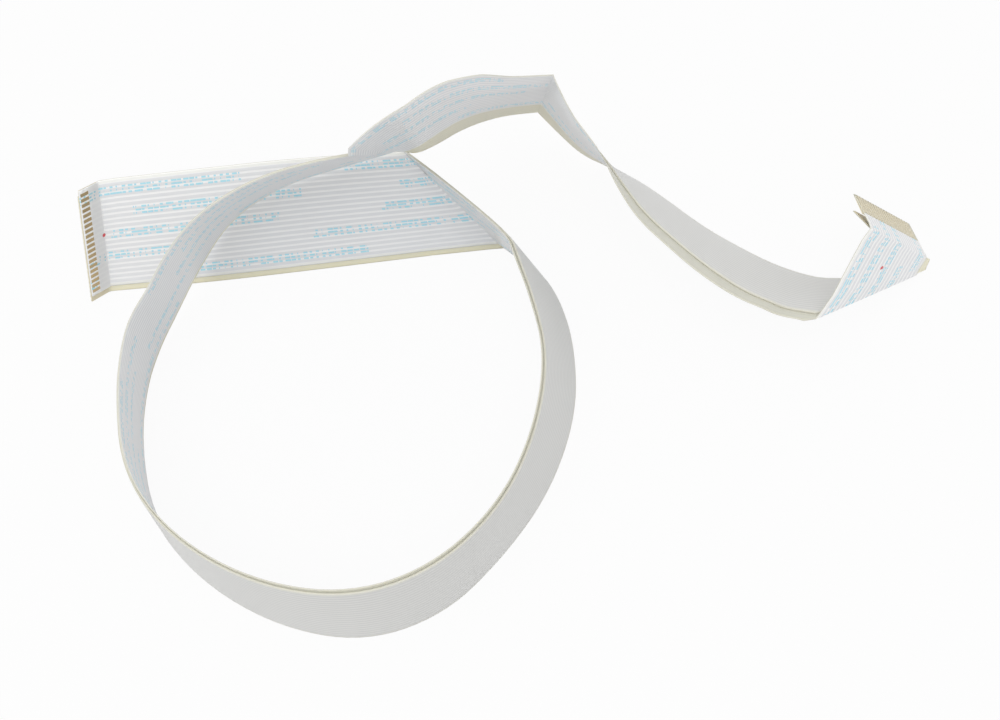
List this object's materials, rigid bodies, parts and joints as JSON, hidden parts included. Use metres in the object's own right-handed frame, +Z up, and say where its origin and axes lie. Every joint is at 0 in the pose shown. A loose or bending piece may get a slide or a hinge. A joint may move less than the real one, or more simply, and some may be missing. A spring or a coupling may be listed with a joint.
{
  "type": "ribbon cable",
  "caption": "Flat white ribbon cable of two plies with bare contacts at both ends, folded into a panel, a standing loop and a long run that drops to a folded tab.",
  "frame": {"origin": "on the floor under the middle of the whole cable's box", "axes": "+X from the left end's tab towards the right end's tab, +Y away from the viewer of the picture, +Z up from the floor the cable stands on"},
  "size_m": [0.1848, 0.115, 0.0627],
  "materials": {
    "plain_film": "cream polyester film, slightly glossy",
    "printed_film": "white polyester film, slightly glossy",
    "contact": "tinned copper, dull gold",
    "tape": "stiff tan polyester tape"
  },
  "bodies": {
    "root": {"plain_ply": "plain_film", "printed_ply": "printed_film", "printed_contacts_left": "contact", "printed_contacts_right": "contact", "plain_contacts_left": "contact", "plain_contacts_right": "contact", "printed_tape_left": "tape", "printed_tape_right": "tape", "plain_tape_left": "tape", "plain_tape_right": "tape"}
  },
  "joints": []
}
